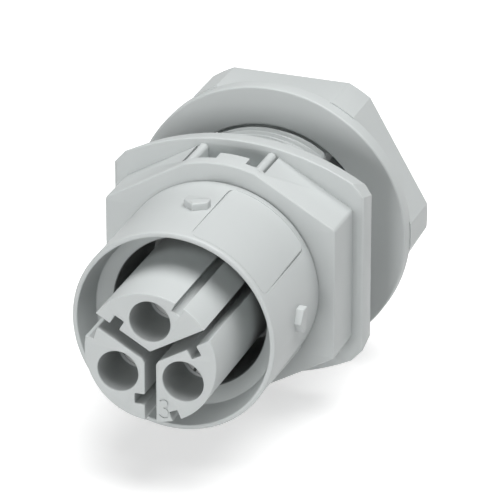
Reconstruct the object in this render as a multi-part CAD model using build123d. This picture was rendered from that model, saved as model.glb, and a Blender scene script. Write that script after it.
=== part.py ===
# Three-pole bulkhead power connector, female side: a round shroud with a hexagon
# and a mounting plate in one moulding, a threaded neck that passes through a panel,
# a flanged locknut, and a contact insert with three screw terminals.
# The axis is Y. The panel's front surface lies in Y = 0, the mating side looks
# along -Y, the wires leave along +Y, and Z is up. All lengths are in millimetres.
import os
from math import cos, radians, sin, sqrt

from build123d import *

# Housing: shroud
SHROUD_OUTER_R = 16.0
SHROUD_INNER_R = 14.4
SHROUD_LENGTH = 20.0
LIP_ROUND = 0.45
LIP_INNER_R = 15.3
LIP_CHAMFER_LENGTH = 1.6
SHOULDER_DEPTH = 5.7
SHOULDER_LENGTH = 1.6
FRONT_BORE_R = 12.1

# Housing: locking lugs on the shroud
LUG_ANGLES = (90, 0, 270, 180)
LUG_APEX_DEPTH = 8.5
LUG_ARM_LENGTH = 1.5
LUG_HALF_WIDTH = 1.9
LUG_LENGTH = 3.0
LUG_HEIGHT = 1.1

# Housing: slide marks, the two slightly raised fields beside the lugs
FIELD_CENTRES = (55, -55)
FIELD_SPAN = 51.5
FIELD_HEIGHT = 0.2
FIELD_FRONT_GAP = 1.3
FIELD_BACK_GAP = 1.6

# Housing: hexagon
HEX_FLATS = 36.9
HEX_LENGTH = 8.3
HEX_CORNER_R = 0.9
HEX_TRIM_R = 18.9
HEX_TRIM_HEIGHT = 14.0
HEX_EDGE_ROUND = 0.35

# Housing: pocket in the top of the hexagon, between two ribs
POCKET_HALF_WIDTH = 4.7
POCKET_WALL = 2.0
POCKET_FLOOR_Z = 15.4
RIB_THICKNESS = 1.5
SLIT_WIDTH = 0.5
STOP_LEFT = -1.2
STOP_RIGHT = 3.5
STOP_LENGTH = 2.0
STOP_DROP = 0.15

# Housing: mounting plate
PLATE_WIDTH = 40.4
PLATE_THICKNESS = 3.9
PLATE_CROWN_FRONT = 19.4
PLATE_CROWN_BACK = 18.7
PLATE_CORNER_FRONT = 1.8
PLATE_CORNER_BACK = 1.0
PLATE_SHOULDER_FRONT = 14.9
PLATE_SHOULDER_BACK = 13.3
PLATE_CORNER_RISE_FRONT = 2.0
PLATE_CORNER_RISE_BACK = 1.6

# Housing: threaded neck, with the thread on its top and bottom only
THREAD_MAJOR_R = 16.0
THREAD_ROOT_R = 15.15
NECK_LENGTH = 24.8
NECK_SIDE_R = 14.2
THREAD_HALF_WIDTH = 9.2
SPIGOT_LENGTH = 1.5
REAR_BORE_R = 12.8

# Panel gasket
GASKET_INNER_R = 16.45
GASKET_OUTER_R = 18.15
GASKET_THICKNESS = 1.4
GASKET_GROOVE_DEPTH = 1.0
GASKET_CLEARANCE = 0.05

# Locknut
NUT_FACE_Y = 10.0
NUT_FLANGE_R = 22.4
NUT_FLANGE_THICKNESS = 2.8
NUT_FLATS = 41.0
NUT_CORNER_R = 22.6
NUT_CORNER_CUT = 0.35
NUT_LENGTH = 10.8
NUT_BORE_CLEARANCE = 0.15
NUT_EDGE_ROUND = 0.4

# Contact carrier
POLES = 3
POLE_ANGLES = (90, 210, 330)
POLE_CIRCLE_R = 5.89
CHAMBER_OUTER_R = 10.3
CHAMBER_PROUD = 9.3
CHAMBER_BORE_R = 3.2
CHAMBER_EDGE = 0.2
SLOT_WIDTH = 1.8
SLOT_DEPTH = 26.0
SLOT_FLOOR_DEPTH = 22.0
NOTCH_START = 6.1
NOTCH_WIDTH = 1.65
NOTCH_DEPTH = 1.6
GROOVE_ANGLES = (63, 293.5)
GROOVE_WIDTH = 1.4
GROOVE_FLOOR_R = 8.8
RECESS_WALL_ANGLE = 169
RECESS_WIDTH = 2.8
RECESS_FLOOR_R = 8.95
INNER_CORNER_CUT = 0.35
BASE_CLEARANCE = 0.1
BASE_FRONT_Y = -8.2
KEY_WIDTH = 3.0
KEY_OUTER_R = 13.5
KEY_CLEARANCE = 0.1

# Carrier seal, an O-ring
SEAL_SECTION_R = 0.9
SEAL_SQUEEZE = 0.03
SEAL_SETBACK = 7.3

# Insert retainer
RETAINER_LENGTH = 3.0
RETAINER_BEAD = 0.4
RETAINER_BEAD_WIDTH = 0.9
RETAINER_CLEARANCE = 0.05

# Terminal cover
COVER_R = 11.4
COVER_LENGTH = 11.5
COVER_CLEARANCE = 0.1
COVER_EDGE = 0.6
WIRE_ENTRY_R = 2.0
WIRE_FUNNEL = 0.5
SCREW_ACCESS_R = 1.9
BLOCK_CLEARANCE = 0.1

# Cover screw
COVER_SCREW_R = 1.1
COVER_SCREW_HEAD_R = 1.9
COVER_SCREW_HEAD_LENGTH = 1.4
COVER_SCREW_LENGTH = 18.0
COVER_SCREW_CLEARANCE = 0.05
DRIVER_SLOT_WIDTH = 0.5
DRIVER_SLOT_DEPTH = 0.7

# Socket contacts
SOCKET_OUTER_R = 2.7
PIN_HOLE_R = 2.0
SOCKET_RECESS = 8.3
PIN_HOLE_DEPTH = 20.0
SOCKET_SLOT_WIDTH = 0.5
SOCKET_SLOT_DEPTH = 12.0
SHANK_R = 2.3
COLLAR_LENGTH = 3.0
COLLAR_CLEARANCE = 0.05
SLEEVE_THICKNESS = 0.25
SLEEVE_CLEARANCE = 0.03
SLEEVE_START = 1.2
SLEEVE_LENGTH = 7.0

# Terminal blocks, clamp plates and clamp screws
BLOCK_HALF_WIDTH = 2.6
BLOCK_INNER_R = 3.3
BLOCK_OUTER_R = 9.6
BLOCK_LENGTH = 9.0
WIRE_ROOM_HALF_WIDTH = 1.6
WIRE_ROOM_INNER_R = 4.2
WIRE_ROOM_OUTER_R = 7.9
WIRE_ROOM_WALL = 1.5
CLAMP_PLATE_THICKNESS = 0.6
CLAMP_PLATE_CLEARANCE = 0.1
CLAMP_PLATE_TOP_GAP = 0.05
CLAMP_SCREW_R = 1.45
CLAMP_SCREW_CLEARANCE = 0.05
CLAMP_SCREW_LENGTH = 3.4
CLAMP_SCREW_TIP_GAP = 0.02

# Places along the axis
PLATE_FACE_Y = -PLATE_THICKNESS
HEX_FACE_Y = PLATE_FACE_Y - HEX_LENGTH
LIP_Y = HEX_FACE_Y - SHROUD_LENGTH
CHAMBER_FACE_Y = LIP_Y - CHAMBER_PROUD
COVER_FACE_Y = NECK_LENGTH - RETAINER_LENGTH - 0.5
COVER_END_Y = COVER_FACE_Y + COVER_LENGTH
BLOCK_END_Y = COVER_FACE_Y + BLOCK_LENGTH
SEAL_Y = COVER_FACE_Y - SEAL_SETBACK
SOCKET_FACE_Y = CHAMBER_FACE_Y + SOCKET_RECESS
SCREW_Y = COVER_FACE_Y + (WIRE_ROOM_WALL + BLOCK_LENGTH) / 2


def slab(outline, start, end):
    """A flat outline, drawn as seen from the front, carried from one Y to another."""
    return extrude(Plane.XZ.offset(-start) * outline, amount=-(end - start))


def turned(*points):
    """A solid of revolution about the axis, from points of radius and Y."""
    return revolve(make_face(Polyline(*points, close=True)), Axis.Y)


def tube(outer, inner, start, end):
    return slab(Circle(outer) - Circle(inner), start, end)


def block(left, right, start, end, low, high):
    """A box between two limits along each of X, Y and Z."""
    size = Box(right - left, end - start, high - low)
    return Pos((left + right) / 2, (start + end) / 2, (low + high) / 2) * size


def at_angle(solid, angle):
    """Turns a solid that was made at the top, at 90 degrees, to another angle."""
    return Rot(0, 90 - angle, 0) * solid


def around(solid, angles):
    return [at_angle(solid, angle) for angle in angles]


def fused(solids):
    total = solids[0]
    for solid in solids[1:]:
        total = total + solid
    return total


def edges_at(solid, y):
    return solid.edges().filter_by(lambda edge: abs(edge.bounding_box().min.Y - y) < 1e-4
                                   and abs(edge.bounding_box().max.Y - y) < 1e-4)


def hexagon(flats, turn=30):
    return RegularPolygon(flats / 2, 6, major_radius=False, rotation=turn)


def lug():
    """A lug with a pointed front, standing on the shroud."""
    front = LIP_Y + LUG_APEX_DEPTH
    arm = front + LUG_ARM_LENGTH
    outline = Polyline((0, front), (LUG_HALF_WIDTH, arm), (LUG_HALF_WIDTH, front + LUG_LENGTH),
                       (-LUG_HALF_WIDTH, front + LUG_LENGTH), (-LUG_HALF_WIDTH, arm), close=True)
    column = extrude(make_face(outline), amount=SHROUD_OUTER_R + LUG_HEIGHT)
    top = slab(Circle(SHROUD_OUTER_R + LUG_HEIGHT), front - 1, front + LUG_LENGTH + 1)
    core = slab(Circle(SHROUD_INNER_R + 0.5), front - 1, front + LUG_LENGTH + 1)
    return (column & top) - core


def slide_field(centre):
    """A field of the shroud that stands slightly proud between two mould lines."""
    start = LIP_Y + FIELD_FRONT_GAP
    end = HEX_FACE_Y - FIELD_BACK_GAP
    ring = tube(SHROUD_OUTER_R + FIELD_HEIGHT, SHROUD_OUTER_R - 0.5, start, end)
    reach = 2 * SHROUD_OUTER_R
    half = radians(FIELD_SPAN / 2)
    wedge = Polyline((0, 0), (-reach * sin(half), reach * cos(half)),
                     (reach * sin(half), reach * cos(half)), close=True)
    return ring & at_angle(slab(make_face(wedge), start, end), centre)


def hexagon_body():
    """The hexagon, cut round at its top and bottom corners."""
    trim = Circle(HEX_TRIM_R) + Rectangle(2 * HEX_FLATS, 2 * HEX_TRIM_HEIGHT)
    outline = hexagon(HEX_FLATS) & trim
    side = HEX_FLATS / 2
    corners = [v for v in outline.vertices() if sqrt(v.X ** 2 + v.Y ** 2) > side * 1.1]
    outline = fillet(corners, HEX_CORNER_R)
    body = slab(outline, HEX_FACE_Y, PLATE_FACE_Y)
    body = fillet(edges_at(body, HEX_FACE_Y), HEX_EDGE_ROUND)
    return body - top_pocket()


def top_pocket():
    """The pocket, its stop, and the slit outside each of the two ribs."""
    start = HEX_FACE_Y + POCKET_WALL
    above = HEX_FLATS
    pocket = block(-POCKET_HALF_WIDTH, POCKET_HALF_WIDTH, start, PLATE_FACE_Y, POCKET_FLOOR_Z, above)
    stop = block(STOP_LEFT, STOP_RIGHT, start, start + STOP_LENGTH,
                 POCKET_FLOOR_Z, HEX_TRIM_R - STOP_DROP)
    slit_start = POCKET_HALF_WIDTH + RIB_THICKNESS
    right = block(slit_start, slit_start + SLIT_WIDTH, start, PLATE_FACE_Y, POCKET_FLOOR_Z, above)
    left = block(-slit_start - SLIT_WIDTH, -slit_start, start, PLATE_FACE_Y, POCKET_FLOOR_Z, above)
    return (pocket - stop) + right + left


def plate_outline(crown, corner, shoulder, rise):
    """The plate's outline: flat sides, cut corners, and a shallow arc at top and bottom."""
    side = PLATE_WIDTH / 2
    inner = side - corner
    low = shoulder - rise
    return make_face([
        Line((side, -low), (side, low)),
        Line((side, low), (inner, shoulder)),
        ThreePointArc((inner, shoulder), (0, crown), (-inner, shoulder)),
        Line((-inner, shoulder), (-side, low)),
        Line((-side, low), (-side, -low)),
        Line((-side, -low), (-inner, -shoulder)),
        ThreePointArc((-inner, -shoulder), (0, -crown), (inner, -shoulder)),
        Line((inner, -shoulder), (side, -low)),
    ])


def plate():
    front = plate_outline(PLATE_CROWN_FRONT, PLATE_CORNER_FRONT,
                          PLATE_SHOULDER_FRONT, PLATE_CORNER_RISE_FRONT)
    back = plate_outline(PLATE_CROWN_BACK, PLATE_CORNER_BACK,
                         PLATE_SHOULDER_BACK, PLATE_CORNER_RISE_BACK)
    body = loft([Plane.XZ.offset(PLATE_THICKNESS) * front, Plane.XZ * back])
    groove = tube(GASKET_OUTER_R + GASKET_CLEARANCE, GASKET_INNER_R - GASKET_CLEARANCE,
                  -GASKET_GROOVE_DEPTH, 1)
    return body - groove


def neck():
    """The neck at its thread's root, with plain sides and a round spigot at the plate."""
    spigot = slab(Circle(THREAD_MAJOR_R), 0, SPIGOT_LENGTH)
    sides = slab(Circle(NECK_SIDE_R), 0, NECK_LENGTH)
    threaded = slab(Circle(THREAD_ROOT_R) & Rectangle(2 * THREAD_HALF_WIDTH, 4 * THREAD_ROOT_R),
                    0, NECK_LENGTH)
    return spigot + sides + threaded


def housing_bore():
    """The stepped bore through the housing, with the keyway and the retainer's groove."""
    shoulder = LIP_Y + SHOULDER_DEPTH
    bore = turned((0, LIP_Y - 1), (LIP_INNER_R, LIP_Y - 1), (LIP_INNER_R, LIP_Y),
                  (SHROUD_INNER_R, LIP_Y + LIP_CHAMFER_LENGTH), (SHROUD_INNER_R, shoulder),
                  (FRONT_BORE_R, shoulder + SHOULDER_LENGTH), (FRONT_BORE_R, BASE_FRONT_Y),
                  (REAR_BORE_R, BASE_FRONT_Y), (REAR_BORE_R, NECK_LENGTH + 1), (0, NECK_LENGTH + 1))
    half = KEY_WIDTH / 2 + KEY_CLEARANCE
    keyway = block(-half, half, BASE_FRONT_Y, NECK_LENGTH + 1, 0, KEY_OUTER_R + KEY_CLEARANCE)
    start, end = bead_span(RETAINER_CLEARANCE)
    groove = tube(REAR_BORE_R + RETAINER_BEAD, REAR_BORE_R - 1, start, end)
    return bore + keyway + groove


def bead_span(clearance=0.0):
    """The start and end, along the axis, of the bead that holds the retainer."""
    middle = COVER_FACE_Y + RETAINER_LENGTH / 2
    half = RETAINER_BEAD_WIDTH / 2 + clearance
    return middle - half, middle + half


def housing():
    shroud = slab(Circle(SHROUD_OUTER_R), LIP_Y, HEX_FACE_Y)
    shroud = fillet(edges_at(shroud, LIP_Y), LIP_ROUND)
    body = shroud + hexagon_body() + plate() + neck()
    body = fused([body] + around(lug(), LUG_ANGLES) + [slide_field(a) for a in FIELD_CENTRES])
    return body - housing_bore()


def panel_gasket():
    start = -GASKET_GROOVE_DEPTH
    return tube(GASKET_OUTER_R, GASKET_INNER_R, start, start + GASKET_THICKNESS)


def locknut():
    """A hexagon nut whose corners are cut to its round flange."""
    flange_end = NUT_FACE_Y + NUT_FLANGE_THICKNESS
    end = NUT_FACE_Y + NUT_LENGTH
    flange = slab(Circle(NUT_FLANGE_R), NUT_FACE_Y, flange_end)
    flange = fillet(edges_at(flange, NUT_FACE_Y), NUT_EDGE_ROUND)
    body = slab(hexagon(NUT_FLATS, 0), flange_end, end)
    body = body & turned((0, flange_end), (NUT_CORNER_R, flange_end), (NUT_CORNER_R, end - NUT_CORNER_CUT),
                         (NUT_CORNER_R - NUT_CORNER_CUT, end), (0, end))
    bore = slab(Circle(THREAD_MAJOR_R + NUT_BORE_CLEARANCE), NUT_FACE_Y - 1, end + 1)
    return flange + body - bore


def slot_arm():
    """One arm of the slot between the chambers, pointing up, with its notch."""
    half = SLOT_WIDTH / 2
    start = CHAMBER_FACE_Y - 1
    end = CHAMBER_FACE_Y + SLOT_DEPTH
    arm = block(-half, half, start, end, 0, CHAMBER_OUTER_R + 1)
    notch = block(0, half + NOTCH_DEPTH, start, end, NOTCH_START, NOTCH_START + NOTCH_WIDTH)
    return arm + notch


def chamber_groove(angle):
    half = GROOVE_WIDTH / 2
    cut = block(-half, half, CHAMBER_FACE_Y - 1, BASE_FRONT_Y, GROOVE_FLOOR_R, CHAMBER_OUTER_R + 1)
    return at_angle(cut, angle)


def corner_recess():
    """The cut in a chamber's outer wall beside one arm of the slot."""
    reach = CHAMBER_OUTER_R + 1
    span = block(0, RECESS_WIDTH, CHAMBER_FACE_Y - 1, BASE_FRONT_Y, 0, reach)
    ring = tube(reach, RECESS_FLOOR_R, CHAMBER_FACE_Y - 1, BASE_FRONT_Y)
    return at_angle(span, RECESS_WALL_ANGLE) & ring


def contact_carrier():
    """Three chambers round a slot with three arms, on a common base."""
    chambers = slab(Circle(CHAMBER_OUTER_R), CHAMBER_FACE_Y, BASE_FRONT_Y)
    chambers = chamfer(edges_at(chambers, CHAMBER_FACE_Y), CHAMBER_EDGE)
    arms = around(slot_arm(), [angle + 180 for angle in POLE_ANGLES])
    centre = slab(Rot(0, 0, 30) * RegularPolygon(SLOT_WIDTH / 2 + INNER_CORNER_CUT, 6, major_radius=False),
                  CHAMBER_FACE_Y - 1, CHAMBER_FACE_Y + SLOT_FLOOR_DEPTH)
    chambers = chambers - fused(arms) - centre
    chambers = chambers - fused([chamber_groove(angle) for angle in GROOVE_ANGLES]) - corner_recess()
    base_r = REAR_BORE_R - BASE_CLEARANCE
    base = slab(Circle(base_r), BASE_FRONT_Y, COVER_FACE_Y)
    key_half = KEY_WIDTH / 2
    key = block(-key_half, key_half, BASE_FRONT_Y, COVER_FACE_Y - RETAINER_LENGTH, 0, KEY_OUTER_R)
    bores = [polar_bore(CHAMBER_BORE_R, angle, CHAMBER_FACE_Y - 1, COVER_FACE_Y + 1)
             for angle in POLE_ANGLES]
    screw_hole = slab(Circle(COVER_SCREW_R + COVER_SCREW_CLEARANCE),
                      BLOCK_END_Y - COVER_SCREW_LENGTH, COVER_FACE_Y + 1)
    floor_r = base_r + BASE_CLEARANCE - 2 * SEAL_SECTION_R + SEAL_SQUEEZE
    seal_groove = tube(base_r + 1, floor_r, SEAL_Y - SEAL_SECTION_R - SEAL_SQUEEZE,
                       SEAL_Y + SEAL_SECTION_R + SEAL_SQUEEZE)
    return chambers + base + key - fused(bores) - screw_hole - seal_groove


def polar_bore(radius, angle, start, end):
    """A round bore on one pole's axis."""
    x = POLE_CIRCLE_R * cos(radians(angle))
    z = POLE_CIRCLE_R * sin(radians(angle))
    return slab(Pos(x, z) * Circle(radius), start, end)


def carrier_seal():
    """The O-ring between the carrier's base and the housing's bore."""
    radius = REAR_BORE_R - SEAL_SECTION_R
    ring = Torus(radius, SEAL_SECTION_R - SEAL_SQUEEZE)
    return Pos(0, SEAL_Y, 0) * Rot(90, 0, 0) * ring


def insert_retainer():
    """A snap ring that holds the carrier in the neck."""
    outer = REAR_BORE_R - RETAINER_CLEARANCE
    end = COVER_FACE_Y + RETAINER_LENGTH
    ring = slab(Circle(outer), COVER_FACE_Y, end)
    start, stop = bead_span()
    bead = slab(Circle(outer + RETAINER_BEAD), start, stop)
    return ring + bead - slab(Circle(COVER_R + COVER_CLEARANCE), COVER_FACE_Y - 1, end + 1)


def terminal_cover():
    """The rear cover over the terminals, with wire entries and screw holes."""
    body = slab(Circle(COVER_R), COVER_FACE_Y, COVER_END_Y)
    body = chamfer(edges_at(body, COVER_END_Y), COVER_EDGE)
    half = BLOCK_HALF_WIDTH + BLOCK_CLEARANCE
    pocket = block(-half, half, COVER_FACE_Y - 1, BLOCK_END_Y + BLOCK_CLEARANCE,
                   BLOCK_INNER_R - BLOCK_CLEARANCE, BLOCK_OUTER_R + BLOCK_CLEARANCE)
    access = Pos(0, SCREW_Y, 0) * extrude(Circle(SCREW_ACCESS_R), amount=COVER_R + 1)
    access = access - slab(Circle(BLOCK_OUTER_R), COVER_FACE_Y - 1, COVER_END_Y)
    body = body - fused(around(pocket + access, POLE_ANGLES))
    for angle in POLE_ANGLES:
        entry = polar_bore(WIRE_ENTRY_R, angle, BLOCK_END_Y - 1, COVER_END_Y + 1)
        body = body - entry
        x = POLE_CIRCLE_R * cos(radians(angle))
        z = POLE_CIRCLE_R * sin(radians(angle))
        funnel = Cone(WIRE_ENTRY_R, WIRE_ENTRY_R + WIRE_FUNNEL, WIRE_FUNNEL)
        body = body - Pos(x, COVER_END_Y - WIRE_FUNNEL / 2, z) * Rot(-90, 0, 0) * funnel
    hole = slab(Circle(COVER_SCREW_R + COVER_SCREW_CLEARANCE), COVER_FACE_Y - 1, COVER_END_Y + 1)
    sink = slab(Circle(COVER_SCREW_HEAD_R + COVER_SCREW_CLEARANCE),
                COVER_END_Y - COVER_SCREW_HEAD_LENGTH, COVER_END_Y + 1)
    return body - hole - sink


def cover_screw():
    """The screw on the axis that pulls the cover onto the carrier."""
    head_start = COVER_END_Y - COVER_SCREW_HEAD_LENGTH
    shank = slab(Circle(COVER_SCREW_R), BLOCK_END_Y - COVER_SCREW_LENGTH, head_start)
    head = slab(Circle(COVER_SCREW_HEAD_R), head_start, COVER_END_Y)
    half = DRIVER_SLOT_WIDTH / 2
    reach = 2 * COVER_SCREW_HEAD_R
    slot = block(-reach, reach, COVER_END_Y - DRIVER_SLOT_DEPTH, COVER_END_Y + 1, -half, half)
    return shank + head - slot


def socket_contact(angle):
    """A slotted socket, its shank with a guide collar, and the terminal block behind."""
    hole_end = SOCKET_FACE_Y + PIN_HOLE_DEPTH
    socket = slab(Circle(SOCKET_OUTER_R), SOCKET_FACE_Y, hole_end + COLLAR_LENGTH)
    collar = slab(Circle(CHAMBER_BORE_R - COLLAR_CLEARANCE), hole_end, hole_end + COLLAR_LENGTH)
    shank = slab(Circle(SHANK_R), hole_end, COVER_FACE_Y)
    hole = slab(Circle(PIN_HOLE_R), SOCKET_FACE_Y - 1, hole_end)
    half = SOCKET_SLOT_WIDTH / 2
    reach = 2 * SOCKET_OUTER_R
    cross = [block(-half, half, SOCKET_FACE_Y - 1, SOCKET_FACE_Y + SOCKET_SLOT_DEPTH, -reach, reach),
             block(-reach, reach, SOCKET_FACE_Y - 1, SOCKET_FACE_Y + SOCKET_SLOT_DEPTH, -half, half)]
    rod = Pos(0, 0, POLE_CIRCLE_R) * (socket + collar + shank - hole - fused(cross))
    terminal = block(-BLOCK_HALF_WIDTH, BLOCK_HALF_WIDTH, COVER_FACE_Y, BLOCK_END_Y,
                     BLOCK_INNER_R, BLOCK_OUTER_R)
    room = block(-WIRE_ROOM_HALF_WIDTH, WIRE_ROOM_HALF_WIDTH, COVER_FACE_Y + WIRE_ROOM_WALL,
                 BLOCK_END_Y + 1, WIRE_ROOM_INNER_R, WIRE_ROOM_OUTER_R)
    thread = Pos(0, SCREW_Y, WIRE_ROOM_INNER_R) * extrude(
        Circle(CLAMP_SCREW_R + CLAMP_SCREW_CLEARANCE), amount=BLOCK_OUTER_R)
    return at_angle(rod + (terminal - room - thread), angle)


def spring_sleeve(angle):
    """The steel sleeve that presses a socket's four fingers together."""
    inner = SOCKET_OUTER_R + SLEEVE_CLEARANCE
    start = SOCKET_FACE_Y + SLEEVE_START
    sleeve = tube(inner + SLEEVE_THICKNESS, inner, start, start + SLEEVE_LENGTH)
    return at_angle(Pos(0, 0, POLE_CIRCLE_R) * sleeve, angle)


def clamp_plate(angle):
    """The plate that a clamp screw presses onto the wire, at its open end."""
    half = WIRE_ROOM_HALF_WIDTH - CLAMP_PLATE_CLEARANCE
    high = WIRE_ROOM_OUTER_R - CLAMP_PLATE_TOP_GAP
    start = COVER_FACE_Y + WIRE_ROOM_WALL + CLAMP_PLATE_CLEARANCE
    return at_angle(block(-half, half, start, BLOCK_END_Y - CLAMP_PLATE_CLEARANCE,
                          high - CLAMP_PLATE_THICKNESS, high), angle)


def clamp_screw(angle):
    """A slotted clamp screw, backed out so that the wire room is open."""
    tip = WIRE_ROOM_OUTER_R - CLAMP_PLATE_TOP_GAP + CLAMP_SCREW_TIP_GAP
    shank = Pos(0, SCREW_Y, tip) * extrude(Circle(CLAMP_SCREW_R), amount=CLAMP_SCREW_LENGTH)
    top = tip + CLAMP_SCREW_LENGTH
    half = DRIVER_SLOT_WIDTH / 2
    reach = 2 * CLAMP_SCREW_R
    slot = block(-reach, reach, SCREW_Y - half, SCREW_Y + half, top - DRIVER_SLOT_DEPTH, top + 1)
    return at_angle(shank - slot, angle)


def write(name, solid):
    export_step(solid, f"parts/{name}.step")


os.makedirs("parts", exist_ok=True)
write("housing", housing())
write("panel_gasket", panel_gasket())
write("locknut", locknut())
write("contact_carrier", contact_carrier())
write("carrier_seal", carrier_seal())
write("insert_retainer", insert_retainer())
write("terminal_cover", terminal_cover())
write("cover_screw", cover_screw())
for number, angle in enumerate(POLE_ANGLES, start=1):
    write(f"socket_contact_{number}", socket_contact(angle))
    write(f"spring_sleeve_{number}", spring_sleeve(angle))
    write(f"clamp_plate_{number}", clamp_plate(angle))
    write(f"clamp_screw_{number}", clamp_screw(angle))
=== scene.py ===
import math
import bmesh
import bpy
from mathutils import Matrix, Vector
from mathutils.geometry import tessellate_polygon


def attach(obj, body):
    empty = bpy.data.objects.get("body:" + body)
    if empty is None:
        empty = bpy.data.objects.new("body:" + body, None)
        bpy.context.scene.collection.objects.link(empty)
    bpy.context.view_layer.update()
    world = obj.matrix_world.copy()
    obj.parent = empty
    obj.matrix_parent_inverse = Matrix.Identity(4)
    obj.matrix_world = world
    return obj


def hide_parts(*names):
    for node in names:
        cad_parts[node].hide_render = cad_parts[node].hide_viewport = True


# Sizes are in millimetres, as the real connector's, and become metres in finish_piece.
MM = 0.001
SEGMENTS = 192
BORE_SEGMENTS = 96
HOLE_SEGMENTS = 64
SCREW_SEGMENTS = 48
END_STEPS = 3
ROUND_STEPS = 4

# How far a cutter goes on past a face, and how far joined parts go into each other
PAST = 1
OVERLAP = 0.5

# Places along the axis, from the mating side to the wires
CHAMBER_FACE = -41.5
STOP_START = -33.22
STOP_END = -32.2
LIP = -32.2
SHOULDER = LIP + 5.7
SHOULDER_END = SHOULDER + 1.6
SLOT_END = -15.5
HEX_FACE = -12.2
CORE_START = -10.0
CHAMBER_END = -8.2
PLATE_FACE = -3.9
SPIGOT_START = -0.9
SPIGOT_END = 1.5
THREAD_START = 1.0
NUT_FACE = 10.0
NUT_STEP = 12.8
NUT_END = 20.8
CARRIER_SCREW_START = 12.3
SEAL_START = 13.0
SEAL_END = 15.0
CARRIER_END = 21.3
KEY_END = CARRIER_END - 3.0
BEAD_START = 22.3
BEAD_END = 23.3
NECK_END = 24.8
THREAD_END = NECK_END - 0.3
THREAD_LEAD = NECK_END - 1.6
COVER_END = 32.8

# The shroud, with the fine line at its root
SHROUD_R = 16.0
SHROUD_BORE_R = 14.4
LIP_BORE_R = 15.2
FRONT_BORE_R = 12.1
REAR_BORE_R = 12.8
ROOT_LINE_WIDTH = 0.3
ROOT_LINE_DEPTH = 0.35
HIDDEN_DEPTH = 0.6

# The lugs on the shroud
LUG_ANGLES = (90, 0, 270, 180)
LUG_FRONT = LIP + 8.5
LUG_ARM = LUG_FRONT + 1.5
LUG_BACK = LUG_FRONT + 3.0
LUG_HALF = 1.9
LUG_ROUND = 0.2
LUG_ROWS = ((0.0, 15.0), (0.0, 16.88), (0.05, 16.99), (0.14, 17.06), (0.26, 17.09))

# The low fields on the shroud, between their mould lines
FIELD_CENTRES = (55, -55)
FIELD_SPAN = 51.5
FIELD_START = LIP + 1.0
FIELD_END = HEX_FACE - 1.6
FIELD_ROUND = 1.3
FIELD_STEP = 0.5
FIELD_EDGE = 0.2
FIELD_LOW = SHROUD_R - 0.05
FIELD_HIGH = SHROUD_R + 0.19
FIELD_ROWS = ((0.0, 13.0), (0.0, SHROUD_R - 0.03), (FIELD_EDGE, SHROUD_R + 0.17), (FIELD_EDGE, 20.0))
FIELD_BASE_R = 15.2
MOAT_WIDTH = 0.19
MOAT_ROWS = ((0.0, 13.0), (0.0, 20.0))
MOAT_FRONT_R = SHROUD_R - 0.08
MOAT_BACK_R = SHROUD_R - 0.25

# The hexagon, with the pocket in its top and a rib at each side of it
HEX_SIDE = 18.45
HEX_TRIM_R = 18.9
HEX_ROUND = 0.9
WALL_R = 14.8
POCKET_START = HEX_FACE + 2.0
POCKET_END = 2
POCKET_FLOOR = 15.4
POCKET_TOP = 30
POCKET_ROUND = 0.15
POCKETS = ((-6.65, -1.2, POCKET_START), (3.5, 6.6, POCKET_START), (-1.4, 3.7, POCKET_START + 2.0))
RIB_X = 5.45
RIB_HALF = 0.75

# The plate and the groove for its gasket
PLATE_SIDE = 20.2
PLATE_ROUND = 0.3
GROOVE_INNER_R = 16.4
GROOVE_OUTER_R = 18.2
GROOVE_DEPTH = 1.0

# The neck, its thread, the keyway and the retainer's bead
NECK_SIDE_R = 14.2
SPIGOT_BORE_R = 13.9
NECK_CORE_R = 13.6
ROOT_R = 15.15
CREST_R = 15.98
THREAD_LEAD_R = 15.3
THREAD_OUTSIDE_R = 17
THREAD_HALF_WIDTH = 9.2
THREAD_HALF_HEIGHT = 20
PITCH = 1.5
THREAD_FLAT = 0.15
THREAD_FLANK = 0.35
KEY_BOTTOM = 5
KEY_HALF = 1.5
KEY_R = 13.5
KEY_CLEARANCE = 0.1
BEAD = (REAR_BORE_R - 0.5, REAR_BORE_R + 0.4, BEAD_START, BEAD_END)

# The locknut
NUT_BORE_R = 16.15
NUT_GROOVE_R = 16.9
NUT_FRONT_LEAD_R = 16.4
NUT_FRONT_LEAD = 0.3
NUT_REAR_LEAD_R = 17.2
NUT_REAR_LEAD = 0.9
NUT_FLANGE_R = 22.4
NUT_FLANGE_ROUND = 0.4
NUT_FLATS = 41.0
NUT_CORNER_R = 22.6

# The contact carrier: three chambers, parted by a slot with three arms
POLE_ANGLES = (90, 210, 330)
POLE_R = 5.89
POLE_BORE_R = 3.2
STOP_R = 2.76
CHAMBER_R = 10.3
BASE_R = 12.7
SLOT_HALF = 0.9
INNER_CUT = 0.94
NOTCH_START = 6.1
NOTCH_END = 7.75
NOTCH_DEPTH = 1.6
RECESS_ANGLE = 169
RECESS_R = 8.95
GROOVE_ANGLES = (63, 293.5)
GROOVE_BOTTOM = 8.8
SEAL_GROOVE = (11.03, 14, SEAL_START, SEAL_END)
SCREW_HOLE_R = 1.15
MARK_PLACE = (2.1, -7.75)
MARK_DEPTH = 0.18
MARK_HALF = 0.13

# The terminal cover: a pocket, a wire entry and an opening for a driver at each pole
COVER_R = 11.4
COVER_POCKET = (-2.7, 2.7, 3.2, 9.7)
COVER_POCKET_END = 30.4
ENTRY_START = 29.5
ENTRY_R = 2.0
ACCESS_R = 1.9
ACCESS_LENGTH = 6
ACCESS_BOTTOM = 9.2
ACCESS_Y = 26.55
SINK_R = 1.95
SINK_DEPTH = 1.4


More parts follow.
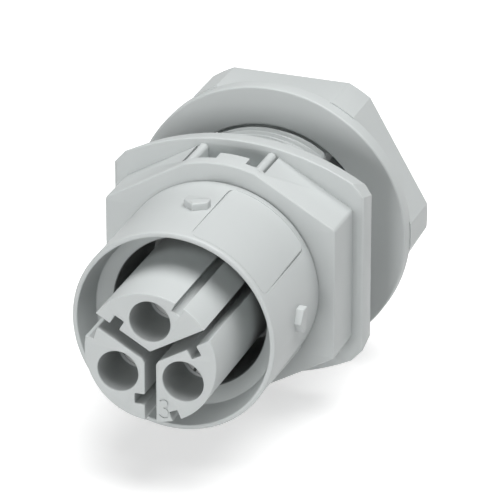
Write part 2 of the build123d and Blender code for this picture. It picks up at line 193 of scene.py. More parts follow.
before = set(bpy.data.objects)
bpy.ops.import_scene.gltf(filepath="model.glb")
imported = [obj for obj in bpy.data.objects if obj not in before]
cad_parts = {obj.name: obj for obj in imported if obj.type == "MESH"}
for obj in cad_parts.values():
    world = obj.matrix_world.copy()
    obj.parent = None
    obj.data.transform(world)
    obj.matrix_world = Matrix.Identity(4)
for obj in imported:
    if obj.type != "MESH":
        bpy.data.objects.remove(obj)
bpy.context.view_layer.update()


# Outlines, as lists of (x, z) that run anticlockwise seen from the front

def turned(x, z, degrees):
    c, s = math.cos(math.radians(degrees)), math.sin(math.radians(degrees))
    return x * c - z * s, x * s + z * c


def arc(radius, start, end, count, centre=(0, 0)):
    points = []
    for i in range(count + 1):
        a = math.radians(start + (end - start) * i / count)
        points.append((centre[0] + radius * math.cos(a), centre[1] + radius * math.sin(a)))
    return points


def circle(radius, centre=(0, 0), count=SEGMENTS):
    return arc(radius, 0, 360, count, centre)[:-1]


def rectangle(left, right, low, high):
    return [(left, low), (right, low), (right, high), (left, high)]


def turned_outline(points, degrees):
    return [turned(x, z, degrees) for x, z in points]


def corner_angle(before, here, after):
    a = math.atan2(here[1] - before[1], here[0] - before[0])
    b = math.atan2(after[1] - here[1], after[0] - here[0])
    return (b - a + math.pi) % (2 * math.pi) - math.pi


def corner_curve(start, here, end, steps):
    """The points of a curve from start to end that rounds the corner between them."""
    points = []
    for k in range(steps + 1):
        t = k / steps
        middle = start * (1 - t) ** 2 + here * 2 * t * (1 - t) + end * t ** 2
        points.append((middle.x, middle.y))
    return points


def softened(points, radius, steps=ROUND_STEPS):
    """Rounds each corner that turns by more than 20 degrees."""
    result = []
    count = len(points)
    for i, point in enumerate(points):
        before, after = points[i - 1], points[(i + 1) % count]
        turn = corner_angle(before, point, after)
        if abs(turn) < math.radians(20):
            result.append(point)
            continue
        here = Vector(point)
        reach = radius * math.tan(abs(turn) / 2)
        start = here + (Vector(before) - here).normalized() * reach
        end = here + (Vector(after) - here).normalized() * reach
        result += corner_curve(start, here, end, steps)
    return result


def inset(points, distance):
    """Moves a closed anticlockwise outline inwards."""
    straight = 1e-9
    least_share = 0.3
    result = []
    count = len(points)
    for i, point in enumerate(points):
        here, before, after = Vector(point), Vector(points[i - 1]), Vector(points[(i + 1) % count])
        a = (here - before).normalized()
        b = (after - here).normalized()
        normal = Vector((-a.y - b.y, a.x + b.x))
        if normal.length < straight:
            result.append(point)
            continue
        normal.normalize()
        share = max(least_share, normal.dot(Vector((-a.y, a.x))))
        result.append(tuple(here + normal * distance / share))
    return result


def divided(points, step):
    """Adds points to a closed outline, so that no side is longer than a step."""
    result = []
    for here, after in zip(points, points[1:] + points[:1]):
        count = max(1, math.ceil((Vector(after) - Vector(here)).length / step))
        for k in range(count):
            result.append(tuple(Vector(here).lerp(Vector(after), k / count)))
    return result


# Meshes

def make_object(name, bm):
    bmesh.ops.recalc_face_normals(bm, faces=bm.faces)
    mesh = bpy.data.meshes.new(name)
    bm.to_mesh(mesh)
    bm.free()
    obj = bpy.data.objects.new(name, mesh)
    bpy.context.scene.collection.objects.link(obj)
    return obj


def add_loop(bm, points, y):
    return [bm.verts.new((x, y, z)) for x, z in points]


def bridge(bm, first, second):
    count = len(first)
    for i in range(count):
        j = (i + 1) % count
        bm.faces.new((first[i], first[j], second[j], second[i]))


def cap(bm, loops):
    """Fills the outer loop, less the loops inside it, with triangles."""
    flat = [[Vector((v.co.x, v.co.z, 0)) for v in loop] for loop in loops]
    verts = [v for loop in loops for v in loop]
    for tri in tessellate_polygon(flat):
        corners = [verts[i] for i in tri]
        if len(set(corners)) == 3 and bm.faces.get(corners) is None:
            bm.faces.new(corners)


def end_rows(y, radius, inwards):
    """Rows of (inset, y) that round an edge at one end; inwards is the way into the solid."""
    if radius == 0:
        return [(0.0, y)]
    rows = []
    for k in range(END_STEPS + 1):
        a = math.pi / 2 * k / END_STEPS
        rows.append((radius * (1 - math.sin(a)), y + inwards * radius * (1 - math.cos(a))))
    return rows


def prism(name, outline, start, end, front=0.0, back=0.0, holes=(), back_outline=None):
    """An outline carried along Y, its edges rounded at the front and at the back.
    A negative radius makes a cutter: its end flares, and goes on for 1 mm past the face."""
    bm = bmesh.new()
    rows = []
    for amount, y in end_rows(start, abs(front), 1):
        rows.append((amount if front >= 0 else -amount, y))
    if front < 0:
        rows.insert(0, (front, start - PAST))
    for amount, y in reversed(end_rows(end, abs(back), -1)):
        rows.append((amount if back >= 0 else -amount, y))
    if back < 0:
        rows.append((back, end + PAST))
    back_outline = back_outline or outline
    ends = ([], [])
    for points, other, sign in [(outline, back_outline, 1)] + [(h, h, -1) for h in holes]:
        last = None
        for index, (amount, y) in enumerate(rows):
            t = (y - start) / (end - start)
            mixed = [(a[0] * (1 - t) + b[0] * t, a[1] * (1 - t) + b[1] * t)
                     for a, b in zip(points, other)]
            loop = add_loop(bm, inset(mixed, amount * sign) if amount else mixed, y)
            if last:
                bridge(bm, last, loop)
            if index == 0:
                ends[0].append(loop)
            last = loop
        ends[1].append(last)
    cap(bm, ends[0])
    cap(bm, ends[1])
    return make_object(name, bm)


def lathe(name, profile):
    """Turns a closed profile of (radius, y) about the axis."""
    bm = bmesh.new()
    columns = []
    for r, y in profile:
        if r == 0:
            columns.append([bm.verts.new((0, y, 0))] * SEGMENTS)
        else:
            columns.append(add_loop(bm, circle(r), y))
    for a, b in zip(columns, columns[1:] + columns[:1]):
        for i in range(SEGMENTS):
            j = (i + 1) % SEGMENTS
            corners = []
            for v in (a[i], a[j], b[j], b[i]):
                if v not in corners:
                    corners.append(v)
            if len(corners) > 2:
                bm.faces.new(corners)
    return make_object(name, bm)


def ring(name, inner, outer, start, end):
    return lathe(name, [(inner, start), (outer, start), (outer, end), (inner, end)])


def rounded_profile(*corners):
    """A profile from corners of (radius, y), or of (radius, y, rounding) where one is rounded."""
    result = []
    count = len(corners)
    for i, corner in enumerate(corners):
        if len(corner) == 2:
            result.append(corner)
            continue
        here = Vector(corner[:2])
        before = (Vector(corners[i - 1][:2]) - here).normalized()
        after = (Vector(corners[(i + 1) % count][:2]) - here).normalized()
        reach = corner[2] / math.tan(before.angle(after) / 2)
        result += corner_curve(here + before * reach, here, here + after * reach, ROUND_STEPS)
    return result


def thread_height(phase):
    """A thread's form over one pitch: flat root, flank, flat crest, flank."""
    half = THREAD_FLAT + THREAD_FLANK
    if phase < THREAD_FLAT:
        return 0.0
    if phase < half:
        return (phase - THREAD_FLAT) / THREAD_FLANK
    if phase < half + THREAD_FLAT:
        return 1.0
    return (1.0 - phase) / THREAD_FLANK


def helix(name, root, crest, start, end, around=120, rows_per_turn=10):
    """A closed cylinder whose wall carries a right-handed thread between two radii."""
    bm = bmesh.new()
    rows = int(round((end - start) / PITCH * rows_per_turn))
    loops = []
    for k in range(rows + 1):
        y = start + (end - start) * k / rows
        loop = []
        for i in range(around):
            a = 2 * math.pi * i / around
            phase = ((y / PITCH) + a / (2 * math.pi)) % 1.0
            r = root + (crest - root) * thread_height(phase)
            loop.append(bm.verts.new((r * math.cos(a), y, r * math.sin(a))))
        if loops:
            bridge(bm, loops[-1], loop)
        loops.append(loop)
    bm.faces.new(loops[0])
    bm.faces.new(loops[-1])
    return make_object(name, bm)


def boolean(target, others, operation):
    for other in others:
        modifier = target.modifiers.new("boolean", "BOOLEAN")
        modifier.operation = operation
        modifier.solver = "EXACT"
        modifier.object = other
        depsgraph = bpy.context.evaluated_depsgraph_get()
        mesh = bpy.data.meshes.new_from_object(target.evaluated_get(depsgraph))
        target.modifiers.clear()
        old = target.data
        target.data = mesh
        bpy.data.meshes.remove(old)
        bpy.data.objects.remove(other)
    return target


def cut(target, *others):
    return boolean(target, others, "DIFFERENCE")


def join(target, *others):
    return boolean(target, others, "UNION")


def common(target, *others):
    return boolean(target, others, "INTERSECT")


def finish_piece(obj, body, node, material, sharp=28):
    """Scales a piece to metres, shades it, and puts it in the plain solid's place."""
    for v in obj.data.vertices:
        v.co *= MM
    obj.data.materials.clear()
    obj.data.materials.append(material)
    bm = bmesh.new()
    bm.from_mesh(obj.data)
    bmesh.ops.remove_doubles(bm, verts=bm.verts, dist=0.002 * MM)
    bmesh.ops.dissolve_degenerate(bm, edges=bm.edges, dist=0.001 * MM)
    for face in bm.faces:
        face.smooth = True
        face.material_index = 0
    limit = math.radians(sharp)
    for edge in bm.edges:
        edge.smooth = len(edge.link_faces) == 2 and edge.calc_face_angle(0) < limit
    bm.to_mesh(obj.data)
    bm.free()
    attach(obj, body)
    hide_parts(node)


# Materials

def add_node(tree, kind, inputs=None, **values):
    """A shader node; an input is given as a value or as another node's output."""
    node = tree.nodes.new(kind)
    for key, value in values.items():
        setattr(node, key, value)
    set_inputs(tree, node, inputs or {})
    return node


def set_inputs(tree, node, inputs):
    for key, value in inputs.items():
        if isinstance(value, bpy.types.NodeSocket):
            tree.links.new(value, node.inputs[key])
        else:
            node.inputs[key].default_value = value


def scaled(colour, share):
    return (*[c * share for c in colour], 1)


def noise(tree, coords, scale, detail, roughness):
    inputs = {"Vector": coords, "Scale": scale, "Detail": detail, "Roughness": roughness}
    return add_node(tree, "ShaderNodeTexNoise", inputs).outputs["Fac"]


def ranged(tree, value, low, high, from_low=0.3, from_high=0.7):
    inputs = {"Value": value, "From Min": from_low, "From Max": from_high, "To Min": low, "To Max": high}
    return add_node(tree, "ShaderNodeMapRange", inputs).outputs["Result"]


def mixed_colour(tree, factor, first, second):
    inputs = {"Factor": factor, "A": first, "B": second}
    return add_node(tree, "ShaderNodeMix", inputs, data_type="RGBA").outputs["Result"]


def bump(tree, height, strength, distance, normal=None):
    inputs = {"Height": height, "Strength": strength, "Distance": distance}
    if normal:
        inputs["Normal"] = normal
    return add_node(tree, "ShaderNodeBump", inputs).outputs["Normal"]


def new_material(name):
    material = bpy.data.materials.new(name)
    material.use_nodes = True
    tree = material.node_tree
    shader = tree.nodes["Principled BSDF"]
    coords = add_node(tree, "ShaderNodeTexCoord").outputs["Object"]
    return material, tree, shader, coords


def cavity_shade_mask(tree, coords, radius, start):
    """Where shade is painted: one within a radius of the axis and behind a face, zero elsewhere."""
    side_edge = 0.1
    face_edge = 0.2
    parts = add_node(tree, "ShaderNodeSeparateXYZ", {0: coords}).outputs
    flat = add_node(tree, "ShaderNodeCombineXYZ", {"X": parts["X"], "Z": parts["Z"]})
    length = add_node(tree, "ShaderNodeVectorMath", {0: flat.outputs[0]}, operation="LENGTH")
    near = ranged(tree, length.outputs["Value"], 1.0, 0.0, (radius - side_edge) * MM, radius * MM)
    behind = ranged(tree, parts["Y"], 0.0, 1.0, start * MM, (start + face_edge) * MM)
    return add_node(tree, "ShaderNodeMath", {0: near, 1: behind}, operation="MULTIPLY").outputs[0]


def moulded_plastic(name, colour, rough=0.48, seed=0.0, painted_shade=None):
    """Glass-filled polyamide: a fine spark-eroded grain, faint flow clouds and sheen changes.
    Painted shade is a radius, a face and a share: behind the face and within the radius, the colour
    is that share of the plain one, shade painted where little light reaches."""
    material, tree, shader, coords = new_material(name)
    shift = (seed, seed * 0.7, -seed)
    place = add_node(tree, "ShaderNodeVectorMath", {0: coords, 1: shift}, operation="ADD").outputs["Vector"]
    cloud = noise(tree, place, scale=55.0, detail=3.0, roughness=0.55)
    speck = noise(tree, place, scale=2600.0, detail=2.0, roughness=0.5)
    fine = noise(tree, place, scale=3800.0, detail=2.0, roughness=0.6)
    broad = noise(tree, place, scale=260.0, detail=2.0, roughness=0.5)
    cloud_share = 0.965
    speck_share = 0.985
    clouds = ranged(tree, cloud, 0.0, 1.0)
    clouded = mixed_colour(tree, clouds, scaled(colour, 1), scaled(colour, cloud_share))
    specks = ranged(tree, speck, 0.0, 0.6, from_low=0.45, from_high=0.75)
    tint = mixed_colour(tree, specks, clouded, scaled(colour, speck_share))
    # Painted shade: behind the face and near the axis the colour is darkened, as shade falls there.
    if painted_shade:
        radius, start, share = painted_shade
        tint = mixed_colour(tree, cavity_shade_mask(tree, coords, radius, start), tint, scaled(colour, share))
    grain = bump(tree, fine, strength=0.25, distance=0.00002)
    set_inputs(tree, shader, {
        "Base Color": tint,
        "Roughness": ranged(tree, cloud, rough - 0.04, rough + 0.05),
        "Normal": bump(tree, broad, strength=0.12, distance=0.00006, normal=grain),
        "IOR": 1.47,
        "Specular IOR Level": 0.42,
    })
    return material


def metal(name, colour, rough, stretch):
    """Plated metal with fine turning or rolling marks along one axis."""
    material, tree, shader, coords = new_material(name)
    mapping = add_node(tree, "ShaderNodeMapping", {"Vector": coords, "Scale": stretch})
    marks = noise(tree, mapping.outputs["Vector"], scale=900.0, detail=3.0, roughness=0.6)
    tarnish = noise(tree, coords, scale=180.0, detail=4.0, roughness=0.6)
    dull_share = 0.82
    dulled = ranged(tree, tarnish, 0.0, 0.8)
    set_inputs(tree, shader, {
        "Base Color": mixed_colour(tree, dulled, scaled(colour, 1), scaled(colour, dull_share)),
        "Roughness": ranged(tree, tarnish, rough - 0.06, rough + 0.1),
        "Normal": bump(tree, marks, strength=0.3, distance=0.00001),
        "Metallic": 1.0,
    })
    return material


def rubber(name, colour):
    """Rubber with a faint, paler bloom."""
    material, tree, shader, coords = new_material(name)
    bloom = noise(tree, coords, scale=140.0, detail=4.0, roughness=0.6)
    grain = noise(tree, coords, scale=3000.0, detail=2.0, roughness=0.5)
    dusty = (*[c * 1.5 + 0.01 for c in colour], 1)
    set_inputs(tree, shader, {
        "Base Color": mixed_colour(tree, ranged(tree, bloom, 0.0, 1.0), scaled(colour, 1), dusty),
        "Roughness": ranged(tree, bloom, 0.62, 0.78),
        "Normal": bump(tree, grain, strength=0.3, distance=0.00002),
    })
    return material


GREY = (0.530, 0.556, 0.554)
# Painted shade: the housing's narrow bore behind the lip is darkened to 0.3 of its colour, and the carrier's
# bores and slot behind its face to 0.78.
SHROUD_PAINTED_SHADE = (12.3, LIP, 0.3)
CARRIER_PAINTED_SHADE = (9.9, CHAMBER_FACE + 0.15, 0.78)
housing_plastic = moulded_plastic("housing_polyamide", GREY, seed=0.0, painted_shade=SHROUD_PAINTED_SHADE)
nut_plastic = moulded_plastic("nut_polyamide", GREY, seed=0.31)
carrier_plastic = moulded_plastic("carrier_polyamide", GREY, seed=0.57, painted_shade=CARRIER_PAINTED_SHADE)
cover_plastic = moulded_plastic("cover_polyamide", GREY, seed=0.83)
retainer_plastic = moulded_plastic("retainer_polyamide", (0.47, 0.50, 0.51), rough=0.42, seed=0.2)
gasket_rubber = rubber("gasket_rubber", (0.02, 0.02, 0.02))
seal_rubber = rubber("seal_rubber", (0.022, 0.02, 0.018))
contact_metal = metal("contact_silver_plate", (0.56, 0.57, 0.57), rough=0.55, stretch=(1, 6, 1))
spring_steel = metal("spring_steel", (0.62, 0.62, 0.63), rough=0.25, stretch=(1, 8, 1))
zinc_plate = metal("zinc_plate", (0.42, 0.425, 0.43), rough=0.42, stretch=(3, 1, 3))


# Housing

def housing_hexagon():
    """The hexagon's outline, its top and bottom corners cut to an arc."""
    meet = math.degrees(math.acos(HEX_SIDE / HEX_TRIM_R))
    x, z = turned(HEX_SIDE / math.cos(math.radians(30)), 0, 30)
    top = arc(HEX_TRIM_R, 60 + meet, 120 - meet, 20)
    bottom = arc(HEX_TRIM_R, 240 + meet, 300 - meet, 20)
    return softened([(x, -z), (x, z)] + top + [(-x, z), (-x, -z)] + bottom, HEX_ROUND, 5)


def plate_outline(corner, low, shoulder, crown):
    """A square with its corners cut and a shallow arc at the top and the bottom."""
    side = PLATE_SIDE
    inner = side - corner
    sag = crown - shoulder
    radius = (inner ** 2 + sag ** 2) / (2 * sag)
    half = math.degrees(math.asin(inner / radius))
    top = arc(radius, 90 - half, 90 + half, 40, (0, crown - radius))
    bottom = arc(radius, 270 - half, 270 + half, 40, (0, radius - crown))
    return softened([(side, -low), (side, low)] + top + [(-side, low), (-side, -low)] + bottom, PLATE_ROUND)


def block(name, left, right, start, end, low, high, round_corners=0.0):
    outline = rectangle(left, right, low, high)
    if round_corners:
        outline = softened(outline, round_corners)
    return prism(name, outline, start, end)


def lug_piece(angle):
    """A lug with a pointed front, drawn at the top of the shroud and turned to its angle."""
    outline = softened([(-LUG_HALF, LUG_BACK), (-LUG_HALF, LUG_ARM), (0, LUG_FRONT),
                        (LUG_HALF, LUG_ARM), (LUG_HALF, LUG_BACK)], LUG_ROUND)
    bm = bmesh.new()
    rings = []
    for amount, z in LUG_ROWS:
        rings.append([bm.verts.new((x, y, z)) for x, y in inset(outline, amount)])
    bm.faces.new(rings[0])
    for first, second in zip(rings, rings[1:]):
        bridge(bm, first, second)
    bm.faces.new(rings[-1])
    for v in bm.verts:
        v.co.x, v.co.z = turned(v.co.x, v.co.z, angle - 90)
    return make_object("lug", bm)


def bent_column(centre, wider, rows):
    """A field's outline, drawn flat, bent round the shroud and carried out through rows of
    (inset, radius)."""
    half = SHROUD_R * math.radians(FIELD_SPAN / 2)
    outline = softened(rectangle(-half, half, FIELD_START, FIELD_END), FIELD_ROUND, 6)
    outline = divided(outline, FIELD_STEP)
    bm = bmesh.new()
    rings = []
    for amount, radius in rows:
        loop = []
        for x, y in inset(outline, amount - wider):
            a = math.radians(centre) - x / SHROUD_R
            loop.append(bm.verts.new((radius * math.cos(a), y, radius * math.sin(a))))
        rings.append(loop)
    for first, second in zip(rings, rings[1:]):
        bridge(bm, first, second)
    for tri in tessellate_polygon([[Vector((x, y, 0)) for x, y in outline]]):
        bm.faces.new([rings[0][i] for i in tri])
        bm.faces.new([rings[-1][i] for i in tri])
    return make_object("column", bm)


def ramp(inner, front, back, reach):
    """A turned shell whose outer radius changes from the lip towards the hexagon."""
    level = FIELD_END - 4
    start = FIELD_START - PAST
    end = FIELD_END + PAST
    return lathe("ramp", [(inner, start), (front, start), (front, FIELD_START + reach),
                          (back, level), (back, end), (inner, end)])


def slide_field(centre):
    """The field between two mould lines, which rises from the lip towards the hexagon."""
    return common(bent_column(centre, 0.0, FIELD_ROWS), ramp(FIELD_BASE_R, FIELD_LOW, FIELD_HIGH, reach=3.0))


def field_moat(centre):
    """The fine line round a field: what is cut before the field goes in."""
    space = bent_column(centre, MOAT_WIDTH, MOAT_ROWS)
    return cut(space, ramp(0, MOAT_FRONT_R, MOAT_BACK_R, reach=0.5))


def shroud_profile():
    """The shroud, the neck's core and the stepped bore, with the fine line at the shroud's root."""
    root_line = HEX_FACE - ROOT_LINE_WIDTH
    return rounded_profile(
        (SHROUD_R, LIP, 0.45), (SHROUD_R, root_line), (SHROUD_R - ROOT_LINE_DEPTH, root_line),
        (SHROUD_R - HIDDEN_DEPTH, CORE_START), (NECK_SIDE_R, CORE_START), (NECK_SIDE_R, NECK_END, 0.3),
        (REAR_BORE_R, NECK_END, 0.25), (REAR_BORE_R, CHAMBER_END), (FRONT_BORE_R, CHAMBER_END),
        (FRONT_BORE_R, SHOULDER_END, 0.3), (SHROUD_BORE_R, SHOULDER, 0.4), (LIP_BORE_R, LIP, 0.25))


def threaded_neck():
    """The thread, on the neck's top and bottom only, over a plain core."""
    thread = helix("thread", ROOT_R, CREST_R, THREAD_START, THREAD_END)
    start = THREAD_START - 0.5
    lead = lathe("lead", [(0, start), (THREAD_OUTSIDE_R, start), (THREAD_OUTSIDE_R, THREAD_LEAD),
                          (THREAD_LEAD_R, THREAD_END), (0, THREAD_END)])
    band = block("band", -THREAD_HALF_WIDTH, THREAD_HALF_WIDTH, 0, NECK_END + PAST,
                 -THREAD_HALF_HEIGHT, THREAD_HALF_HEIGHT)
    core = prism("core", circle(NECK_CORE_R), -PAST, NECK_END + PAST)
    return cut(common(thread, lead, band), core)


def keyway():
    half = KEY_HALF + KEY_CLEARANCE
    return block("keyway", -half, half, CHAMBER_END, NECK_END + PAST, KEY_BOTTOM, KEY_R + KEY_CLEARANCE, 0.2)


def rib(x):
    """A round-topped rib beside the pocket, as high as the rounded top of the hexagon."""
    top = math.sqrt(HEX_TRIM_R ** 2 - x ** 2) - RIB_HALF
    bottom = POCKET_FLOOR - OVERLAP
    outline = arc(RIB_HALF, 0, 180, 15, (x, top)) + [(x - RIB_HALF, bottom), (x + RIB_HALF, bottom)]
    return prism("rib", outline, POCKET_START - OVERLAP, PLATE_FACE + OVERLAP)


def build_housing():
    wall = circle(WALL_R, count=BORE_SEGMENTS)
    body = lathe("housing_body", shroud_profile())
    hexagon = prism("hexagon", housing_hexagon(), HEX_FACE, PLATE_FACE + OVERLAP, front=0.35, holes=[wall])
    hexagon = cut(hexagon, *[
        block("pocket", left, right, start, POCKET_END, POCKET_FLOOR, POCKET_TOP, POCKET_ROUND)
        for left, right, start in POCKETS])
    plate = prism("plate", plate_outline(corner=1.8, low=12.9, shoulder=14.9, crown=19.4),
                  PLATE_FACE, 0.0, front=0.4, back=0.3, holes=[wall],
                  back_outline=plate_outline(corner=1.0, low=11.7, shoulder=13.3, crown=18.7))
    groove = lathe("groove", [(GROOVE_INNER_R, PAST), (GROOVE_INNER_R, -GROOVE_DEPTH),
                              (GROOVE_OUTER_R, -GROOVE_DEPTH), (GROOVE_OUTER_R, PAST)])
    plate = cut(plate, groove)
    spigot = prism("spigot", circle(SHROUD_R), SPIGOT_START, SPIGOT_END, back=0.3,
                   holes=[circle(SPIGOT_BORE_R, count=BORE_SEGMENTS)])
    body = join(body, hexagon, plate, spigot, threaded_neck(), rib(-RIB_X), rib(RIB_X))
    body = join(body, *[lug_piece(angle) for angle in LUG_ANGLES])
    body = cut(body, *[field_moat(centre) for centre in FIELD_CENTRES])
    body = join(body, *[slide_field(centre) for centre in FIELD_CENTRES])
    return cut(body, keyway(), ring("bead", *BEAD))


# Locknut

def build_nut():
    meet = math.degrees(math.acos(NUT_FLATS / 2 / NUT_CORNER_R))
    outline = []
    for corner in range(0, 360, 60):
        outline += arc(NUT_CORNER_R, corner - 30 + meet, corner + 30 - meet, 4)
    hexagon = prism("nut_body", outline, NUT_STEP - 0.6, NUT_END, back=0.35)
    flange = lathe("flange", rounded_profile(
        (0, NUT_FACE), (NUT_FLANGE_R, NUT_FACE, NUT_FLANGE_ROUND),
        (NUT_FLANGE_R, NUT_STEP, NUT_FLANGE_ROUND), (0, NUT_STEP)))
    thread = helix("bore", NUT_BORE_R, NUT_GROOVE_R, NUT_FACE + PAST, NUT_END + PAST)
    front = NUT_FACE - 2 * PAST
    back = NUT_END + 2 * PAST
    plain_bore = lathe("plain", [
        (0, front), (NUT_FRONT_LEAD_R, front), (NUT_FRONT_LEAD_R, NUT_FACE),
        (NUT_BORE_R, NUT_FACE + NUT_FRONT_LEAD), (NUT_BORE_R, NUT_END - NUT_REAR_LEAD),
        (NUT_REAR_LEAD_R, NUT_END), (NUT_REAR_LEAD_R, back), (0, back)])
    return cut(join(flange, hexagon), thread, plain_bore)


# Contact carrier

def arm_outline():
    """The three-armed slot with the notch beside each arm, as one outline.
    The corner over the centre is sharp and the two beside it are cut."""
    reach = CHAMBER_R + 1.5
    notch = SLOT_HALF + NOTCH_DEPTH
    sharp = SLOT_HALF / math.tan(math.radians(60))
    points = []
    for angle, first, last in ((30, INNER_CUT, sharp), (150, None, INNER_CUT), (270, INNER_CUT, INNER_CUT)):
        arm = [(SLOT_HALF, NOTCH_START), (notch, NOTCH_START), (notch, NOTCH_END), (SLOT_HALF, NOTCH_END),
               (SLOT_HALF, reach), (-SLOT_HALF, reach), (-SLOT_HALF, last)]
        if first:
            arm.insert(0, (SLOT_HALF, first))
        points += turned_outline(arm, angle - 90)
    return points


def ribbon(line, half_width):
    """A narrow closed outline along a line."""
    left, right = [], []
    for i, p in enumerate(line):
        a = Vector(line[max(0, i - 1)])
        b = Vector(line[min(len(line) - 1, i + 1)])
        side = Vector((-(b - a).y, (b - a).x)).normalized() * half_width
        left.append((p[0] + side.x, p[1] + side.y))
        right.append((p[0] - side.x, p[1] - side.y))
    return left + right[::-1]


def number_three():
    """The plain number 3, as two bowls that meet in the middle."""
    x, z = MARK_PLACE
    upper = arc(0.68, 150, -92, 18, (x, z + 0.70))
    lower = arc(0.78, 92, -150, 20, (x, z - 0.76))
    return [prism("mark", ribbon(bowl, MARK_HALF), CHAMBER_FACE - PAST, CHAMBER_FACE + MARK_DEPTH)
            for bowl in (upper, lower)]


def corner_recess():
    """The recess in the left chamber's corner, from a flat line to the round outside."""
    span = turned_outline(rectangle(0, 2.8, 3, CHAMBER_R + 1), RECESS_ANGLE - 90)
    front = CHAMBER_FACE - 2 * PAST
    kept = lathe("kept", [(0, front), (RECESS_R, front), (RECESS_R, 0), (0, 0)])
    return cut(prism("recess", span, CHAMBER_FACE - PAST, CHAMBER_END), kept)


def outer_groove(angle):
    """A narrow groove along the outside of a chamber."""
    outline = turned_outline(rectangle(-0.7, 0.7, GROOVE_BOTTOM, 12), angle - 90)
    return prism("groove", softened(outline, 0.12, 3), CHAMBER_FACE, CHAMBER_END, front=-0.14)


def pole_bores(angle):
    """A chamber's bore, which a thin rib narrows just before the contact."""
    centre = turned(POLE_R, 0, angle)
    wide = circle(POLE_BORE_R, centre, BORE_SEGMENTS)
    narrow = circle(STOP_R, centre, BORE_SEGMENTS)
    return [prism("pole_bore", wide, CHAMBER_FACE, STOP_START, front=-0.14),
            prism("stop_bore", narrow, STOP_START - PAST, STOP_END + PAST),
            prism("rear_bore", wide, STOP_END, CARRIER_END + PAST)]


def build_carrier():
    body = lathe("carrier_body", rounded_profile(
        (0, CHAMBER_FACE), (CHAMBER_R, CHAMBER_FACE, 0.2), (CHAMBER_R, CHAMBER_END),
        (BASE_R, CHAMBER_END, 0.3), (BASE_R, CARRIER_END, 0.2), (0, CARRIER_END)))
    key = block("key", -KEY_HALF, KEY_HALF, CHAMBER_END, KEY_END, KEY_BOTTOM, KEY_R, 0.15)
    body = join(body, key)
    slot = prism("slot", softened(arm_outline(), 0.22), CHAMBER_FACE, SLOT_END, front=-0.12)
    body = cut(body, slot, corner_recess(), *[outer_groove(angle) for angle in GROOVE_ANGLES])
    for angle in POLE_ANGLES:
        body = cut(body, *pole_bores(angle))
    screw_hole = prism("screw_hole", circle(SCREW_HOLE_R, count=SCREW_SEGMENTS),
                       CARRIER_SCREW_START, CARRIER_END + PAST)
    return cut(body, ring("seal_groove", *SEAL_GROOVE), screw_hole, *number_three())


# Terminal cover

def pole_openings(angle):
    """What is cut for one pole: the terminal's pocket, the wire's entry and the driver's opening."""
    turn = angle - 90
    outline = turned_outline(rectangle(*COVER_POCKET), turn)
    pocket = prism("pocket", outline, CARRIER_END - PAST, COVER_POCKET_END)
    centre = turned(POLE_R, 0, angle)
    entry = prism("entry", circle(ENTRY_R, centre, HOLE_SEGMENTS), ENTRY_START, COVER_END, back=-0.5)
    access = prism("access", circle(ACCESS_R, count=HOLE_SEGMENTS), 0, ACCESS_LENGTH)
    for v in access.data.vertices:
        x, z = turned(v.co.x, ACCESS_BOTTOM + v.co.y, turn)
        v.co = (x, ACCESS_Y + v.co.z, z)
    return [pocket, entry, access]


def build_cover():
    body = lathe("cover_body", rounded_profile(
        (0, CARRIER_END), (COVER_R, CARRIER_END), (COVER_R, COVER_END, 0.6), (0, COVER_END)))
    for angle in POLE_ANGLES:
        body = cut(body, *pole_openings(angle))
    screw_hole = prism("screw_hole", circle(SCREW_HOLE_R, count=SCREW_SEGMENTS),
                       CARRIER_END - PAST, COVER_END + PAST)
    sink = prism("sink", circle(SINK_R, count=HOLE_SEGMENTS), COVER_END - SINK_DEPTH, COVER_END, back=-0.15)
    return cut(body, screw_hole, sink)


finish_piece(build_housing(), "connector", "housing", housing_plastic)
finish_piece(build_nut(), "nut", "locknut", nut_plastic, sharp=20)
finish_piece(build_carrier(), "connector", "contact_carrier", carrier_plastic)
finish_piece(build_cover(), "connector", "terminal_cover", cover_plastic)


def shade(obj, material, sharp=28):
    """Gives a solid that is shown as it was built its material."""
    obj.data.materials.clear()
    obj.data.materials.append(material)
    for polygon in obj.data.polygons:
        polygon.material_index = 0
    obj.data.shade_smooth()
    obj.data.set_sharp_from_angle(angle=math.radians(sharp))


plain = {"panel_gasket": gasket_rubber, "carrier_seal": seal_rubber, "insert_retainer": retainer_plastic,
         "cover_screw": zinc_plate, "socket_contact": contact_metal, "spring_sleeve": spring_steel,
         "clamp_plate": zinc_plate, "clamp_screw": zinc_plate}
for node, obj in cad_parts.items():
    for start, material in plain.items():
        if node.startswith(start):
            shade(obj, material)


# Floor, light and camera. Places here are in metres.

WHITE = (1, 1, 1, 1)
FLOOR_Z = -0.0228
FLOOR_HALF = 3.0
FLOOR_GREY = (0.68, 0.68, 0.68, 1)
FLOOR_GLOW = 0.56
WORLD_LIGHT = 0.08
LIGHT_TARGET = (0, -0.01, 0)
SENSOR_WIDTH = 36.0
IMAGE_WIDTH = 500


def math_node(tree, operation, first, second):
    return add_node(tree, "ShaderNodeMath", {0: first, 1: second}, operation=operation).outputs[0]


def floor_material():
    """A white floor that shows pure white to the camera and still takes the shadow."""
    material = bpy.data.materials.new("floor")
    material.use_nodes = True
    tree = material.node_tree
    tree.nodes.clear()
    path = add_node(tree, "ShaderNodeLightPath").outputs
    seen = math_node(tree, "MAXIMUM", path["Is Camera Ray"], path["Is Glossy Ray"])
    seen = math_node(tree, "MAXIMUM", seen, path["Is Transmission Ray"])
    diffuse = add_node(tree, "ShaderNodeBsdfDiffuse", {"Color": FLOOR_GREY}).outputs[0]
    strength = math_node(tree, "MULTIPLY", seen, FLOOR_GLOW)
    glow = add_node(tree, "ShaderNodeEmission", {"Color": WHITE, "Strength": strength}).outputs[0]
    both = add_node(tree, "ShaderNodeAddShader", {0: diffuse, 1: glow}).outputs[0]
    add_node(tree, "ShaderNodeOutputMaterial", {"Surface": both})
    return material


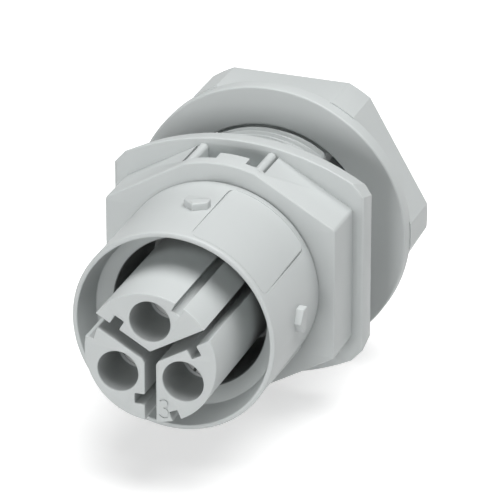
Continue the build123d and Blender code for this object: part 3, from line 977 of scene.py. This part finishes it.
def make_floor():
    bm = bmesh.new()
    for x, y in rectangle(-FLOOR_HALF, FLOOR_HALF, -FLOOR_HALF, FLOOR_HALF):
        bm.verts.new((x, y, 0))
    bm.faces.new(bm.verts)
    floor = make_object("floor", bm)
    floor.location.z = FLOOR_Z
    floor.data.materials.append(floor_material())


def make_world():
    """A dim white light all round, which shows plain white to the camera."""
    world = bpy.data.worlds.new("studio")
    bpy.context.scene.world = world
    world.use_nodes = True
    tree = world.node_tree
    tree.nodes.clear()
    path = add_node(tree, "ShaderNodeLightPath").outputs
    light = add_node(tree, "ShaderNodeBackground", {"Color": WHITE, "Strength": WORLD_LIGHT}).outputs[0]
    white = add_node(tree, "ShaderNodeBackground", {"Color": WHITE}).outputs[0]
    seen = path["Is Camera Ray"]
    mix = add_node(tree, "ShaderNodeMixShader", {"Fac": seen, 1: light, 2: white}).outputs[0]
    add_node(tree, "ShaderNodeOutputWorld", {"Surface": mix})


def area_light(name, place, size, power):
    data = bpy.data.lights.new(name, "AREA")
    data.shape = "DISK"
    data.size = size
    data.energy = power
    lamp = bpy.data.objects.new(name, data)
    lamp.location = place
    lamp.rotation_euler = (Vector(LIGHT_TARGET) - Vector(place)).to_track_quat("-Z", "Y").to_euler()
    bpy.context.scene.collection.objects.link(lamp)


def make_camera(azimuth, elevation, distance, target, scale):
    """Scale is in pixels per millimetre at the target."""
    data = bpy.data.cameras.new("camera")
    data.sensor_width = SENSOR_WIDTH
    data.lens = scale * distance / MM * SENSOR_WIDTH / IMAGE_WIDTH
    data.clip_end = 20.0
    camera = bpy.data.objects.new("camera", data)
    a, e = math.radians(azimuth), math.radians(elevation)
    away = Vector((math.sin(a) * math.cos(e), -math.cos(a) * math.cos(e), math.sin(e)))
    camera.location = Vector(target) + away * distance
    camera.rotation_euler = (-away).to_track_quat("-Z", "Y").to_euler()
    bpy.context.scene.collection.objects.link(camera)
    bpy.context.scene.camera = camera


make_floor()
make_world()
area_light("key", place=(0.15, 0.02, 0.87), size=1.00, power=11.8)
area_light("fill", place=(-0.10, -1.00, 0.13), size=0.40, power=4.8)
make_camera(azimuth=19.83, elevation=24.78, distance=0.687, target=(0.00054, 0, -0.00054), scale=6.502)
bpy.context.scene.view_settings.view_transform = "Standard"
